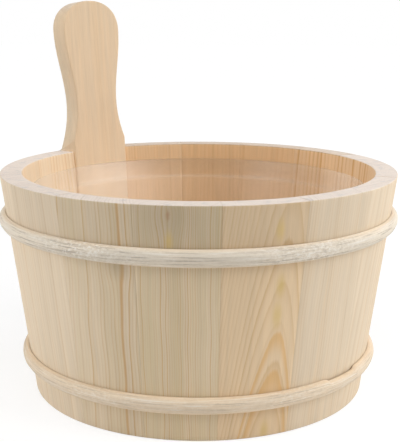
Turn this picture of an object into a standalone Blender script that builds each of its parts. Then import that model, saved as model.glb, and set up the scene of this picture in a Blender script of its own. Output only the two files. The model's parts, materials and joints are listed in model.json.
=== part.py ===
"""Sauna bucket: a coopered pine bucket with one long handle stave, two bent wooden hoops and a lift-out liner.

Metres, +Z up. The origin is the centre of the ring that the bucket stands on. Azimuths run anticlockwise from +X.
Fifteen plain staves and the handle stave stand in a ring, turned round inside and outside. Two half-round hoops,
each a bent strip with a skived lap joint, hold them. Three bottom boards sit in a groove cut round the inside of the
staves, and a thin plastic liner stands on the boards.
"""

import math

import bmesh
import bpy
from mathutils import Matrix, Vector

MM = 0.001
FULL_TURN = 2 * math.pi

# Turned wall
RIM_RADIUS = 130.0 * MM
BASE_RADIUS = 110.7 * MM
RIM_HEIGHT = 144.7 * MM
RIM_WALL = 14.2 * MM
BASE_WALL = 9.4 * MM
RIM_CHAMFER = 0.8 * MM
BASE_CHAMFER = 1.2 * MM

# Ring of staves: two arcs of equal staves run from the handle stave to one seam at the front
LEFT_STAVES = 6
RIGHT_STAVES = 9
FRONT_SEAM = math.radians(-84.3)
HANDLE_AZIMUTH = math.radians(130.9)
HANDLE_STAVE_ANGLE = math.radians(23.2)
HANDLE_PROUD = 1.5 * MM
STAVE_STEPS = 5

# Handle above the rim; heights run along the leaning board, from the rim
HANDLE_LENGTH = 109.0 * MM
HANDLE_THICKNESS = 14.6 * MM
FLARE_FOOT = 2.0 * MM
FLARE_HALF_WIDTH = 25.7 * MM
WAIST_HALF_WIDTH = 17.6 * MM
WAIST_HEIGHT = 35.0 * MM
HEAD_HALF_WIDTH = 24.4 * MM
HEAD_HEIGHT = 88.0 * MM
FLARE_EXPONENT = 2.3
HEAD_EXPONENT = 2.2
HANDLE_EDGE_RADIUS = 2.0 * MM
CURVE_STEPS = 8

# Hoops: a half-round strip whose flat side lies on the wall
UPPER_HOOP_DROP = 30.1 * MM
LOWER_HOOP_HEIGHT = 23.8 * MM
HOOP_WIDTH = 10.8 * MM
HOOP_DEPTH = 5.0 * MM
HOOP_STEPS = 72
HOOP_ARC_STEPS = 7
UPPER_LAP_AZIMUTH = math.radians(-72.0)
LOWER_LAP_AZIMUTH = math.radians(-37.5)
LAP_ANGLE = math.radians(14.0)
LAP_GAP = 0.35 * MM

# Bottom boards in their groove
CHIME = 10.0 * MM
BOARD_THICKNESS = 10.0 * MM
GROOVE_DEPTH = 4.0 * MM
BOARD_COUNT = 3
BOARD_STEPS = 72

# Liner
LINER_WALL = 1.5 * MM
LINER_TOP_DROP = 10.5 * MM
COLLAR_HEIGHT = 13.0 * MM
COLLAR_STEP = 2.2 * MM
LINER_CORNER = 9.0 * MM
LINER_STEPS = 72
LINER_CORNER_STEPS = 4

# Clearances
GLUE_GAP = 0.3 * MM
SEAT_GAP = 0.3 * MM
LINER_CLEARANCE = 0.6 * MM

# Cutters reach this far past what they cut
CUT_MARGIN = 20.0 * MM

# Colours are linear RGB
PINE = (0.74, 0.57, 0.38, 1.0)
HANDLE_PINE = (0.73, 0.54, 0.35, 1.0)
HOOP_WOOD = (0.78, 0.66, 0.51, 1.0)
BOARD_PINE = (0.70, 0.52, 0.33, 1.0)
LINER_PLASTIC = (0.90, 0.86, 0.82, 0.35)

# The inner face of the handle stave is flat: it lies a little inside the chord from seam to seam
CHORD = math.cos(HANDLE_STAVE_ANGLE / 2)
BOARD_TOP = CHIME + BOARD_THICKNESS
UP = Vector((0.0, 0.0, 1.0))


def outer_radius(z):
    """Outside of the turned wall at height z."""
    return BASE_RADIUS + (RIM_RADIUS - BASE_RADIUS) * z / RIM_HEIGHT


def inner_radius(z):
    """Inside of the turned wall at height z."""
    base = BASE_RADIUS - BASE_WALL
    return base + (RIM_RADIUS - RIM_WALL - base) * z / RIM_HEIGHT


def handle_face(z):
    """Distance from the axis to the middle of the handle stave's flat inner face at height z."""
    return inner_radius(z) * CHORD - HANDLE_PROUD


GROOVE_RADIUS = inner_radius(CHIME + BOARD_THICKNESS / 2) + GROOVE_DEPTH
HANDLE_LEAN = math.atan((handle_face(RIM_HEIGHT) - handle_face(0.0)) / RIM_HEIGHT)
INWARD = Vector((-math.cos(HANDLE_LEAN), 0.0, math.sin(HANDLE_LEAN)))


def material(name, colour, roughness):
    """A Principled material of one colour."""
    made = bpy.data.materials.new(name)
    made.use_nodes = True
    shader = made.node_tree.nodes["Principled BSDF"]
    shader.inputs["Base Color"].default_value = colour
    shader.inputs["Roughness"].default_value = roughness
    shader.inputs["Metallic"].default_value = 0.0
    shader.inputs["Alpha"].default_value = colour[3]
    return made


def add_object(name, mesh, finish, parent=None):
    """Links a mesh as a named object, shaded smooth away from its sharp edges."""
    mesh.materials.clear()
    mesh.materials.append(finish)
    mesh.shade_smooth()
    mesh.set_sharp_from_angle(angle=math.radians(30))
    made = bpy.data.objects.new(name, mesh)
    bpy.context.scene.collection.objects.link(made)
    made.parent = parent
    return made


def mesh_of(shape, name):
    """Turns a bmesh into a mesh with its faces pointing out."""
    bmesh.ops.recalc_face_normals(shape, faces=shape.faces)
    mesh = bpy.data.meshes.new(name)
    shape.to_mesh(mesh)
    shape.free()
    return mesh


def turned_wedge(profile, half_angle, steps):
    """A closed (radius, height) profile swept about Z through half_angle each side of +X."""
    shape = bmesh.new()
    face = shape.faces.new([shape.verts.new((r, 0.0, z)) for r, z in profile])
    bmesh.ops.rotate(shape, verts=face.verts, matrix=Matrix.Rotation(-half_angle, 3, "Z"))
    swept = shape.verts[:] + shape.edges[:] + shape.faces[:]
    bmesh.ops.spin(shape, geom=swept, axis=UP, angle=2 * half_angle, steps=steps)
    return shape


def turned_ring(profile, steps, closed):
    """A (radius, height) profile swept a full turn about Z. An open profile starts and ends on the axis."""
    shape = bmesh.new()
    points = [shape.verts.new((r, 0.0, z)) for r, z in profile]
    for first, second in zip(points, points[1:]):
        shape.edges.new((first, second))
    if closed:
        shape.edges.new((points[-1], points[0]))
    swept = shape.verts[:] + shape.edges[:]
    bmesh.ops.spin(shape, geom=swept, axis=UP, angle=FULL_TURN, steps=steps)
    bmesh.ops.remove_doubles(shape, verts=shape.verts, dist=0.001 * MM)
    return shape


def prism(outline, depth):
    """An outline in the local YZ plane, extruded from -depth to +depth along X."""
    shape = bmesh.new()
    face = shape.faces.new([shape.verts.new((-depth, y, z)) for y, z in outline])
    swept = bmesh.ops.extrude_face_region(shape, geom=[face])["geom"]
    moved = [v for v in swept if isinstance(v, bmesh.types.BMVert)]
    bmesh.ops.translate(shape, verts=moved, vec=(2 * depth, 0.0, 0.0))
    return shape


def trim(shape, point, normal):
    """Cuts away what lies on the normal's side of a plane, and closes the cut."""
    everything = shape.verts[:] + shape.edges[:] + shape.faces[:]
    cut = bmesh.ops.bisect_plane(shape, geom=everything, plane_co=point, plane_no=normal, clear_outer=True)
    edges = [e for e in cut["geom_cut"] if isinstance(e, bmesh.types.BMEdge)]
    bmesh.ops.edgeloop_fill(shape, edges=edges)


def boolean(mesh, cutter, operation, placed=Matrix()):
    """The mesh that is left when cutter, a bmesh placed by a matrix, is taken from mesh or kept in common with it."""
    target = bpy.data.objects.new("target", mesh)
    tool = bpy.data.objects.new("tool", mesh_of(cutter, "tool"))
    tool.matrix_world = placed
    for item in (target, tool):
        bpy.context.scene.collection.objects.link(item)
    step = target.modifiers.new("cut", "BOOLEAN")
    step.operation = operation
    step.object = tool
    graph = bpy.context.evaluated_depsgraph_get()
    made = bpy.data.meshes.new_from_object(target.evaluated_get(graph))
    for item in (target, tool):
        bpy.data.objects.remove(item)
    return made


def stave_profile():
    """Cross-section of a plain stave: turned faces, chamfered ends and the groove for the bottom boards."""
    groove_low = CHIME - SEAT_GAP
    groove_high = BOARD_TOP + SEAT_GAP
    chamfer, foot = RIM_CHAMFER, BASE_CHAMFER
    return [
        (outer_radius(0.0) - foot, 0.0),
        (outer_radius(foot), foot),
        (outer_radius(RIM_HEIGHT - chamfer), RIM_HEIGHT - chamfer),
        (outer_radius(RIM_HEIGHT) - chamfer, RIM_HEIGHT),
        (inner_radius(RIM_HEIGHT) + chamfer, RIM_HEIGHT),
        (inner_radius(RIM_HEIGHT - chamfer), RIM_HEIGHT - chamfer),
        (inner_radius(groove_high), groove_high),
        (GROOVE_RADIUS, groove_high),
        (GROOVE_RADIUS, groove_low),
        (inner_radius(groove_low), groove_low),
        (inner_radius(0.0), 0.0),
    ]


def seam_half_angle(stave_angle):
    """Half of a stave's angle, less its half of the glue line measured at the rim."""
    return stave_angle / 2 - GLUE_GAP / 2 / (RIM_RADIUS - RIM_WALL)


def build_staves(finish, parent):
    """The plain staves, numbered anticlockwise from the handle stave. The staves of an arc share one mesh."""
    left_start = HANDLE_AZIMUTH + HANDLE_STAVE_ANGLE / 2
    right_end = HANDLE_AZIMUTH - HANDLE_STAVE_ANGLE / 2
    left = (left_start, FULL_TURN + FRONT_SEAM, LEFT_STAVES)
    right = (FRONT_SEAM, right_end, RIGHT_STAVES)
    number = 0
    for start, end, count in (left, right):
        pitch = (end - start) / count
        mesh = mesh_of(turned_wedge(stave_profile(), seam_half_angle(pitch), STAVE_STEPS), "plain_stave")
        for index in range(count):
            number += 1
            stave = add_object(f"stave_{number:02d}", mesh, finish, parent)
            stave.rotation_euler.z = start + (index + 0.5) * pitch


def handle_half_outline():
    """(half width, height along the board) from the foot of the flare to the middle of the head."""
    points = []
    for step in range(CURVE_STEPS):
        share = 1 - step / CURVE_STEPS
        flare = (FLARE_HALF_WIDTH - WAIST_HALF_WIDTH) * share**FLARE_EXPONENT
        points.append((WAIST_HALF_WIDTH + flare, WAIST_HEIGHT - (WAIST_HEIGHT - FLARE_FOOT) * share))
    for step in range(CURVE_STEPS):
        share = step / CURVE_STEPS
        swell = (HEAD_HALF_WIDTH - WAIST_HALF_WIDTH) * (1 - math.cos(math.pi * share)) / 2
        points.append((WAIST_HALF_WIDTH + swell, WAIST_HEIGHT + (HEAD_HEIGHT - WAIST_HEIGHT) * share))
    for step in range(CURVE_STEPS + 1):
        turn = math.pi / 2 * step / CURVE_STEPS
        across = math.cos(turn) ** (2 / HEAD_EXPONENT)
        along = math.sin(turn) ** (2 / HEAD_EXPONENT)
        points.append((HEAD_HALF_WIDTH * across, HEAD_HEIGHT + (HANDLE_LENGTH - HEAD_HEIGHT) * along))
    return points


def handle_outline():
    """The sawn outline of the whole handle stave; below the flare it is wider than the stave and cuts nothing."""
    half = handle_half_outline()
    wide = FLARE_HALF_WIDTH + CUT_MARGIN
    low = -RIM_HEIGHT - CUT_MARGIN
    right = [(wide, low), (wide, FLARE_FOOT)] + half
    left = [(-y, z) for y, z in reversed(right)]
    return right + left[1:]


def round_handle_edges(mesh):
    """Rounds the edges that the sawn outline makes with the paddle's two flat faces."""
    shape = bmesh.new()
    shape.from_mesh(mesh)
    sawn = []
    for edge in shape.edges:
        above_rim = min(v.co.z for v in edge.verts) > RIM_HEIGHT + RIM_CHAMFER
        on_flat = any(abs(face.normal.dot(INWARD)) > 0.999 for face in edge.link_faces)
        if above_rim and on_flat and edge.calc_face_angle() > math.pi / 4:
            sawn.append(edge)
    bmesh.ops.bevel(shape, geom=sawn, offset=HANDLE_EDGE_RADIUS, segments=2, profile=0.5, affect="EDGES")
    return shape


def build_handle_stave(finish, parent):
    """A stave blank with a flat inner face, turned outside up to the rim and sawn to the paddle above it."""
    top = RIM_HEIGHT + HANDLE_LENGTH + CUT_MARGIN
    foot = BASE_CHAMFER
    thick = CUT_MARGIN
    blank = turned_wedge(
        [
            (outer_radius(0.0) - foot, 0.0),
            (outer_radius(foot), foot),
            (outer_radius(top), top),
            (inner_radius(top) - thick, top),
            (inner_radius(0.0) - thick, 0.0),
        ],
        seam_half_angle(HANDLE_STAVE_ANGLE),
        STAVE_STEPS,
    )
    face_at_rim = Vector((handle_face(RIM_HEIGHT), 0.0, RIM_HEIGHT))
    trim(blank, face_at_rim, INWARD)
    mesh = mesh_of(blank, "handle_stave")

    groove_low = CHIME - SEAT_GAP
    groove_high = BOARD_TOP + SEAT_GAP
    groove = [(0.0, groove_high), (GROOVE_RADIUS, groove_high), (GROOVE_RADIUS, groove_low), (0.0, groove_low)]
    mesh = boolean(mesh, turned_ring(groove, BOARD_STEPS, closed=False), "DIFFERENCE")

    board = Matrix.Translation(face_at_rim) @ Matrix.Rotation(HANDLE_LEAN, 4, "Y")
    mesh = boolean(mesh, prism(handle_outline(), RIM_RADIUS), "INTERSECT", board)

    back = Matrix.Translation(face_at_rim) @ Matrix.Rotation(math.pi / 2, 4, "Z")
    out = HANDLE_THICKNESS / math.cos(HANDLE_LEAN)
    rise = HANDLE_LENGTH + CUT_MARGIN
    far = -(out + rise)
    waste = [(-out, 0.0), (far, 0.0), (far, rise), (-out - rise * math.tan(HANDLE_LEAN), rise)]
    mesh = boolean(mesh, prism(waste, RIM_RADIUS), "DIFFERENCE", back)

    mesh = mesh_of(round_handle_edges(mesh), "handle_stave")
    stave = add_object("handle_stave", mesh, finish, parent)
    stave.rotation_euler.z = HANDLE_AZIMUTH


def hoop_profile(middle):
    """Half-round section of a hoop whose flat side follows the wall's taper."""
    half = HOOP_WIDTH / 2
    slope = (RIM_RADIUS - BASE_RADIUS) / RIM_HEIGHT
    seat = outer_radius(middle) + SEAT_GAP
    points = []
    for step in range(HOOP_ARC_STEPS + 1):
        turn = math.pi * (0.5 - step / HOOP_ARC_STEPS)
        rise = half * math.sin(turn)
        points.append((seat + slope * rise + HOOP_DEPTH * math.cos(turn), middle + rise))
    return points


def lap_cutter(middle):
    """A thin plate standing nearly along the hoop at +X, which parts the hoop's two skived ends."""
    half = HOOP_WIDTH
    radius = outer_radius(middle) + SEAT_GAP + HOOP_DEPTH / 2
    plate = prism([(-CUT_MARGIN, -half), (CUT_MARGIN, -half), (CUT_MARGIN, half), (-CUT_MARGIN, half)], LAP_GAP / 2)
    reach = radius * math.sin(LAP_ANGLE)
    nearest = radius * math.cos(LAP_ANGLE)
    return plate, Matrix.Rotation(-LAP_ANGLE, 4, "Z") @ Matrix.Translation((nearest, reach, middle))


def build_hoop(name, middle, lap_azimuth, finish, parent):
    """A bent strip: a turned half-round ring, parted by its skived lap."""
    mesh = mesh_of(turned_ring(hoop_profile(middle), HOOP_STEPS, closed=True), name)
    plate, placed = lap_cutter(middle)
    turned = Matrix.Rotation(lap_azimuth, 4, "Z") @ placed
    add_object(name, boolean(mesh, plate, "DIFFERENCE", turned), finish, parent)


def build_bottom(finish, parent):
    """The bottom disc, cut into equal boards that run along Y, with a glue line between them."""
    radius = GROOVE_RADIUS - SEAT_GAP
    width = 2 * radius / BOARD_COUNT
    disc = [(0.0, BOARD_TOP), (radius, BOARD_TOP), (radius, CHIME), (0.0, CHIME)]
    for index in range(BOARD_COUNT):
        low = -radius + index * width
        board = turned_ring(disc, BOARD_STEPS, closed=False)
        if index > 0:
            trim(board, Vector((low + GLUE_GAP / 2, 0.0, 0.0)), Vector((-1.0, 0.0, 0.0)))
        if index < BOARD_COUNT - 1:
            trim(board, Vector((low + width - GLUE_GAP / 2, 0.0, 0.0)), Vector((1.0, 0.0, 0.0)))
        name = f"bottom_board_{index + 1}"
        add_object(name, mesh_of(board, name), finish, parent)


def liner_radius(z):
    """Outside of the liner's collar at height z: clear of the flat face of the handle stave."""
    return handle_face(z) - LINER_CLEARANCE


def corner(centre, radius, start):
    """Points of a quarter turn about centre, clockwise in (radius, height) from the angle start."""
    turns = [start - math.pi / 2 * step / LINER_CORNER_STEPS for step in range(LINER_CORNER_STEPS + 1)]
    return [(centre[0] + radius * math.cos(turn), centre[1] + radius * math.sin(turn)) for turn in turns]


def liner_profile(floor):
    """Section of the liner from its inner floor over its lip to its underside; heights are from the bucket's base."""
    lip = RIM_HEIGHT - LINER_TOP_DROP
    step = lip - COLLAR_HEIGHT
    wall, small = LINER_WALL, LINER_CORNER - LINER_WALL
    foot = floor + LINER_CORNER
    outer_foot = liner_radius(foot) - COLLAR_STEP
    turn = (outer_foot - LINER_CORNER, foot)
    inside_corner = list(reversed(corner(turn, small, 0.0)))
    outside_corner = corner(turn, LINER_CORNER, 0.0)
    return [
        (0.0, floor + wall),
        *inside_corner,
        (liner_radius(step) - COLLAR_STEP - wall, step),
        (liner_radius(step + wall) - wall, step + wall),
        (liner_radius(lip) - wall, lip - wall / 2),
        (liner_radius(lip) - wall / 2, lip),
        (liner_radius(lip), lip - wall / 2),
        (liner_radius(step), step),
        (liner_radius(step - wall) - COLLAR_STEP, step - wall),
        *outside_corner,
        (0.0, floor),
    ]


def build_liner(finish, parent):
    """The liner is turned about the axis it lifts along, and its origin is on that axis at its underside."""
    floor = BOARD_TOP + SEAT_GAP
    profile = [(r, z - floor) for r, z in liner_profile(floor)]
    liner = add_object("liner", mesh_of(turned_ring(profile, LINER_STEPS, closed=False), "liner"), finish, parent)
    liner.location.z = floor


def main():
    """Clears the scene and builds every piece under one empty."""
    for item in list(bpy.data.objects):
        bpy.data.objects.remove(item)
    bucket = bpy.data.objects.new("bucket", None)
    bpy.context.scene.collection.objects.link(bucket)
    hoop_wood = material("hoop_wood", HOOP_WOOD, 0.7)
    build_staves(material("pine", PINE, 0.6), bucket)
    build_handle_stave(material("handle_pine", HANDLE_PINE, 0.6), bucket)
    build_hoop("upper_hoop", RIM_HEIGHT - UPPER_HOOP_DROP, UPPER_LAP_AZIMUTH, hoop_wood, bucket)
    build_hoop("lower_hoop", LOWER_HOOP_HEIGHT, LOWER_LAP_AZIMUTH, hoop_wood, bucket)
    build_bottom(material("board_pine", BOARD_PINE, 0.65), bucket)
    build_liner(material("liner_plastic", LINER_PLASTIC, 0.3), bucket)


main()
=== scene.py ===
"""Sauna bucket: the looks of a coopered pine bucket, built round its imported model.

Metres, +Z up, azimuths anticlockwise from +X. Every wooden piece is cut out of its own log: the distance
to the log's pith, in annual rings, is written on the mesh, so the face grain and the end grain agree.
"""

import json
import math
from collections import namedtuple

import bmesh
import bpy
import numpy as np
from mathutils import Matrix, Vector

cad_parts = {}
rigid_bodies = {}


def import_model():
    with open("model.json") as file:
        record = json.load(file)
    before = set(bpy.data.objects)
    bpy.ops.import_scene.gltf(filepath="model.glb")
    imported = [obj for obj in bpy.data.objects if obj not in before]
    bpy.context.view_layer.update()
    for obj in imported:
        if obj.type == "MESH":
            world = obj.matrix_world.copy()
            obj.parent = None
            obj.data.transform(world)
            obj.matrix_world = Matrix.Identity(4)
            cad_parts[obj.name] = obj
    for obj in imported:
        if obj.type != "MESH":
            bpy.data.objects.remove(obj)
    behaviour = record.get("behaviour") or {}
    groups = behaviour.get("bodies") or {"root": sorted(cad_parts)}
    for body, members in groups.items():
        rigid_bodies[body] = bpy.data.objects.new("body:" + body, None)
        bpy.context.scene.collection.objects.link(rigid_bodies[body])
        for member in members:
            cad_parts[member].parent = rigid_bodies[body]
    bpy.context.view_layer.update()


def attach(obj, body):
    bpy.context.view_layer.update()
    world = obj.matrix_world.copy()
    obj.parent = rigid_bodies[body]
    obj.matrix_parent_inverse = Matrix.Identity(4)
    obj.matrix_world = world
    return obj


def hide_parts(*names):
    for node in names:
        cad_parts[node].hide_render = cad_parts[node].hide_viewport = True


for item in list(bpy.data.objects):
    bpy.data.objects.remove(item)
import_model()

MM = 0.001
FULL_TURN = 2 * math.pi
RIGHT = Vector((1.0, 0.0, 0.0))
BACK = Vector((0.0, 1.0, 0.0))
UP = Vector((0.0, 0.0, 1.0))

# Turned wall
RIM_RADIUS = 130.0 * MM
BASE_RADIUS = 110.7 * MM
RIM_HEIGHT = 144.7 * MM
RIM_WALL = 14.2 * MM
BASE_WALL = 9.4 * MM
RIM_ROUND = 0.8 * MM
BASE_ROUND = 1.2 * MM
GROOVE_ROUND = 0.15 * MM
WALL_SLOPE = (RIM_RADIUS - BASE_RADIUS) / RIM_HEIGHT

# Ring of staves
LEFT_STAVES = 6
RIGHT_STAVES = 9
FRONT_SEAM = math.radians(-84.3)
HANDLE_AZIMUTH = math.radians(130.9)
HANDLE_STAVE_ANGLE = math.radians(23.2)
HANDLE_PROUD = 1.5 * MM
SEAM_GAP = 0.02 * MM
SEAM_ROUND = 0.06 * MM
STAVE_COLUMNS = 22
STAVE_ROUND_STEPS = 4
ARRIS_SHARE = 0.3
WALL_ROW = 2.2 * MM
RIM_ROW = 1.8 * MM
STAVE_PLAY = 0.12 * MM

# Handle
HANDLE_LENGTH = 109.0 * MM
HANDLE_THICKNESS = 14.6 * MM
FLARE_FOOT = 2.0 * MM
FLARE_HALF_WIDTH = 25.7 * MM
WAIST_HALF_WIDTH = 18.0 * MM
WAIST_HEIGHT = 35.0 * MM
HEAD_HALF_WIDTH = 24.4 * MM
HEAD_HEIGHT = 88.0 * MM
FLARE_EXPONENT = 1.95
HEAD_EXPONENT = 2.2
HANDLE_EDGE_RADIUS = 1.0 * MM
HANDLE_EDGE_STEPS = 5
HANDLE_SHARP = 20.0
CURVE_STEPS = 22
HANDLE_ROW = 3.0 * MM
CUT_MARGIN = 20.0 * MM
WELD = 0.03 * MM
FINE_WELD = 0.001 * MM
SQUARE = math.radians(45.0)
LEVEL = 0.999
FLAT = 0.9999

# Hoops
HOOP_WIDTH = 10.8 * MM
HOOP_DEPTH = 5.0 * MM
HOOP_STEPS = 360
HOOP_ARC_STEPS = 22
LAP_ANGLE = math.radians(14.0)
LAP_GAP = 0.2 * MM
LAP_THIN = np.radians((-48.3, -32.6))
LAP_THIN_RAMP = math.radians(1.2)
LAP_THIN_DROP = 1.5 * MM
LAP_THIN_LIFT = 0.5 * MM
ROUGH_AZIMUTHS = np.radians((-121.0, -60.0, 35.0, 160.0))
ROUGH_REACH = math.radians(13.0)
HOOP_WAVE = 0.22 * MM
HOOP_RIDGE = 0.12 * MM
HOOP_WAVE_LENGTHS = (60 * MM, 60 * MM)
HOOP_RIDGE_LENGTHS = (90 * MM, 90 * MM, 2.4 * MM)
HOOP_RIDGE_COUNT = 9
HOOP_SEAT = 0.15 * MM
HOOP_SHARP = 35.0

# Height of each hoop's middle, azimuth of its lap, warmth, seed and whether the lap is pared thin
HOOPS = {
    "upper_hoop": (RIM_HEIGHT - 30.1 * MM, math.radians(-72.0), 0.10, 3, False),
    "lower_hoop": (23.8 * MM, math.radians(-37.5), 0.75, 8, True),
}

# Bottom boards
CHIME = 10.0 * MM
BOARD_THICKNESS = 10.0 * MM
GROOVE_DEPTH = 4.0 * MM
BOARD_COUNT = 3
BOARD_STEPS = 144
BOARD_ROUND = 0.4 * MM
BOARD_ROW = 5.0 * MM
BOARD_TOP = CHIME + BOARD_THICKNESS

# Liner
LINER_WALL = 1.5 * MM
LINER_TOP_DROP = 10.5 * MM
COLLAR_HEIGHT = 13.0 * MM
COLLAR_STEP = 2.2 * MM
LINER_CORNER = 9.0 * MM
LINER_STEPS = 180
LINER_CLEARANCE = 0.6 * MM
LINER_FOLD = 1.4 * MM
LINER_BEND = 0.8 * MM
LINER_BEND_STEPS = 6
LINER_SHARP = 60.0
LIP_ROUND = 0.48 * LINER_WALL
CORNER_SHARE = 0.95
STEP_LINE = 0.5
# Painted highlight: upright sectors where the liner is made whiter and less clear, as if light from the right
# glinted off it; its floor is milkier
HIGHLIGHT_AZIMUTHS = np.radians((124.0, 62.0, 22.0))
HIGHLIGHT_REACHES = np.radians((20.0, 13.0, 12.0))
HIGHLIGHT_LEVELS = (1.0, 0.6, 0.5)
HIGHLIGHT_WALL = 0.60
MILKY_FLOOR = 0.8
SEAT_GAP = 0.3 * MM

# Floor: pale to the light. What the camera sees of it is dimmer and glows, so that it is white but for
# the shadow.
FLOOR_RADIUS = 6.0
FLOOR_STEPS = 96
FLOOR_ROUGHNESS = 0.9
FLOOR_DROP = 0.2 * MM
FLOOR_PALE = (0.880, 0.880, 0.880, 1.0)
FLOOR_SEEN_NEAR = (0.300, 0.300, 0.300, 1.0)
FLOOR_SEEN_FAR = (0.040, 0.040, 0.040, 1.0)
FLOOR_NEAR = 0.20
FLOOR_FAR = 0.80
FLOOR_GLOW = 0.76
WORLD_LIGHT = 0.05
WHITE = (1.0, 1.0, 1.0, 1.0)

# Soft boxes: place, side and watts
LAMP_TARGET = Vector((0.0, 0.0, 0.1))
LAMPS = {
    "right_box": ((1.10, -0.40, 0.80), 0.9, 10.4),
    "right_back_box": ((1.00, 0.55, 0.70), 0.8, 4.6),
    "left_box": ((-1.15, -0.25, 0.60), 0.9, 8.5),
    "top_box": ((0.0, -0.60, 1.25), 1.0, 6.1),
    "back_box": ((0.10, 1.30, 0.35), 0.9, 4.0),
}

# Camera, from the rim, base and hoop circles of the photograph
IMAGE_HEIGHT = 442
FOCAL_PIXELS = 992.7
SENSOR = 36.0
CAMERA_PLACE = (0.0, -0.652, 0.2495)
CAMERA_PITCH = math.radians(12.22)
CAMERA_YAW = 0.00133
CAMERA_ROLL = 0.0026
CLIP_START = 0.01

# Linear colours
EARLY_WOOD = (0.79, 0.655, 0.488, 1.0)
LATE_WOOD = (0.64, 0.42, 0.203, 1.0)
HEART_LATE = (0.7, 0.355, 0.115, 1.0)
GREEN_WOOD = (0.7, 0.575, 0.375, 1.0)
PINK_WOOD = (0.8, 0.61, 0.4, 1.0)
HEART_WOOD = (0.92, 0.58, 0.295, 1.0)
BROWN_LINE = (0.6, 0.33, 0.115, 1.0)
ORANGE_LINE = (0.72, 0.415, 0.14, 1.0)
END_WOOD = (0.86, 0.755, 0.67, 1.0)
END_RING = (0.56, 0.45, 0.37, 1.0)
GREY_END = (0.6, 0.565, 0.545, 1.0)
SEAM_SHADE = (0.3, 0.19, 0.1, 1.0)
KNOT_HEART = (0.4, 0.18, 0.085, 1.0)
KNOT_SHADE = (0.42, 0.33, 0.21, 1.0)
RESIN_AND_PATCH_YELLOW = (0.7, 0.5, 0.16, 1.0)
HOOP_PALE = (0.8, 0.715, 0.59, 1.0)
HOOP_WARM = (0.815, 0.645, 0.455, 1.0)
HOOP_STREAK = (0.4, 0.325, 0.255, 1.0)
HOOP_PIT = (0.43, 0.36, 0.29, 1.0)
HOOP_FUZZ = (0.93, 0.89, 0.82, 1.0)
LINER_TINT = (0.4, 0.29, 0.2, 1.0)
LINER_HAZE = (0.98, 0.91, 0.84, 1.0)
# Dark lines at the liner's lip and step: the folds, with painted shade under them
LINER_LINE = (0.42, 0.27, 0.16, 1.0)

# Marks on the wood: name, share of the colour at their middle, and that colour
WOOD_MARKS = (("shade", 0.4, KNOT_SHADE), ("knot", 0.55, KNOT_HEART), ("resin_and_patch", 0.65, RESIN_AND_PATCH_YELLOW))

# Noise, in spots per metre across, in depth and along the grain, and in spots per ring for eras
WANDER_SCALE = (55.0, 55.0, 9.0)
FIBRE_SCALE = (1500.0, 1500.0, 45.0)
STREAK_SCALE = (330.0, 330.0, 9.0)
CLOUD_SCALE = (28.0, 28.0, 10.0)
SAW_SCALE = (900.0, 900.0, 900.0)
PATCH_SCALE = (140.0, 140.0, 30.0)
ERA_SCALE = 0.19

# The same along, across and in depth of a hoop's strip, and in space for the liner and the floor
HOOP_FIBRE_SCALE = (34.0, 950.0, 400.0)
HOOP_STREAK_SCALE = (13.0, 430.0, 200.0)
HOOP_SPECKLE_SCALE = (430.0, 680.0, 500.0)
HOOP_CLOUD_SCALE = (30.0, 120.0, 0.0)
LINER_CLOUD_SCALE = (22.0, 22.0, 30.0)
LINER_SCUFF_SCALE = (60.0, 60.0, 900.0)
FLOOR_SPECK_SCALE = (40.0, 40.0, 40.0)

# Gloss
WOOD_SHINE = 0.30
STAVE_ROUGHNESS = 0.50
HANDLE_ROUGHNESS = 0.46
BOARD_ROUGHNESS = 0.55

CHORD = math.cos(HANDLE_STAVE_ANGLE / 2)


def outer_radius(z):
    """Outside of the turned wall at height z."""
    return BASE_RADIUS + WALL_SLOPE * z


def inner_radius(z):
    """Inside of the turned wall at height z."""
    base = BASE_RADIUS - BASE_WALL
    return base + (RIM_RADIUS - RIM_WALL - base) * z / RIM_HEIGHT


def handle_face(z):
    """Distance from the axis to the middle of the handle stave's flat inner face at height z."""
    return inner_radius(z) * CHORD - HANDLE_PROUD


GROOVE_RADIUS = inner_radius(CHIME + BOARD_THICKNESS / 2) + GROOVE_DEPTH
HANDLE_LEAN = math.atan((handle_face(RIM_HEIGHT) - handle_face(0.0)) / RIM_HEIGHT)
INWARD = Vector((-math.cos(HANDLE_LEAN), 0.0, math.sin(HANDLE_LEAN)))


# Shapes


def bend(before, corner, after, steps):
    """Points of an arc-like curve that rounds a corner (point, radius) between two other points."""
    here, radius = np.array(corner[0]), corner[1]
    back, on = np.array(before) - here, np.array(after) - here
    start = here + back / np.linalg.norm(back) * radius
    end = here + on / np.linalg.norm(on) * radius
    shares = np.linspace(0.0, 1.0, steps + 1)
    return [(1 - share) ** 2 * start + 2 * share * (1 - share) * here + share**2 * end for share in shares]


def rounded(corners, steps):
    """A closed outline through corners (point, radius), each rounded."""
    points = []
    for index, corner in enumerate(corners):
        after = corners[(index + 1) % len(corners)]
        points.extend(bend(corners[index - 1][0], corner, after[0], steps))
    return points


def with_rows(points, longest):
    """The same closed outline with points added so that no side is longer than longest(side middle)."""
    dense = []
    for first, second in zip(points, points[1:] + points[:1]):
        pieces = max(1, math.ceil(np.linalg.norm(second - first) / longest((first + second) / 2)))
        dense.extend(first + (second - first) * step / pieces for step in range(pieces))
    return np.array(dense)


def inset(points, distance):
    """A closed anticlockwise outline moved inward by a small distance."""
    ahead = np.roll(points, -1, axis=0) - points
    ahead /= np.linalg.norm(ahead, axis=1)[:, None]
    behind = np.roll(ahead, 1, axis=0)
    left = np.stack((-(ahead + behind)[:, 1], (ahead + behind)[:, 0]), axis=1)
    left /= np.linalg.norm(left, axis=1)[:, None]
    return points + distance * left


def unit(values):
    """Values held between 0 and 1."""
    return np.clip(values, 0.0, 1.0)


def swing(azimuth, place):
    """Azimuths as angles of -pi to pi from a place."""
    return np.angle(np.exp(1j * (azimuth - place)))


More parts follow.
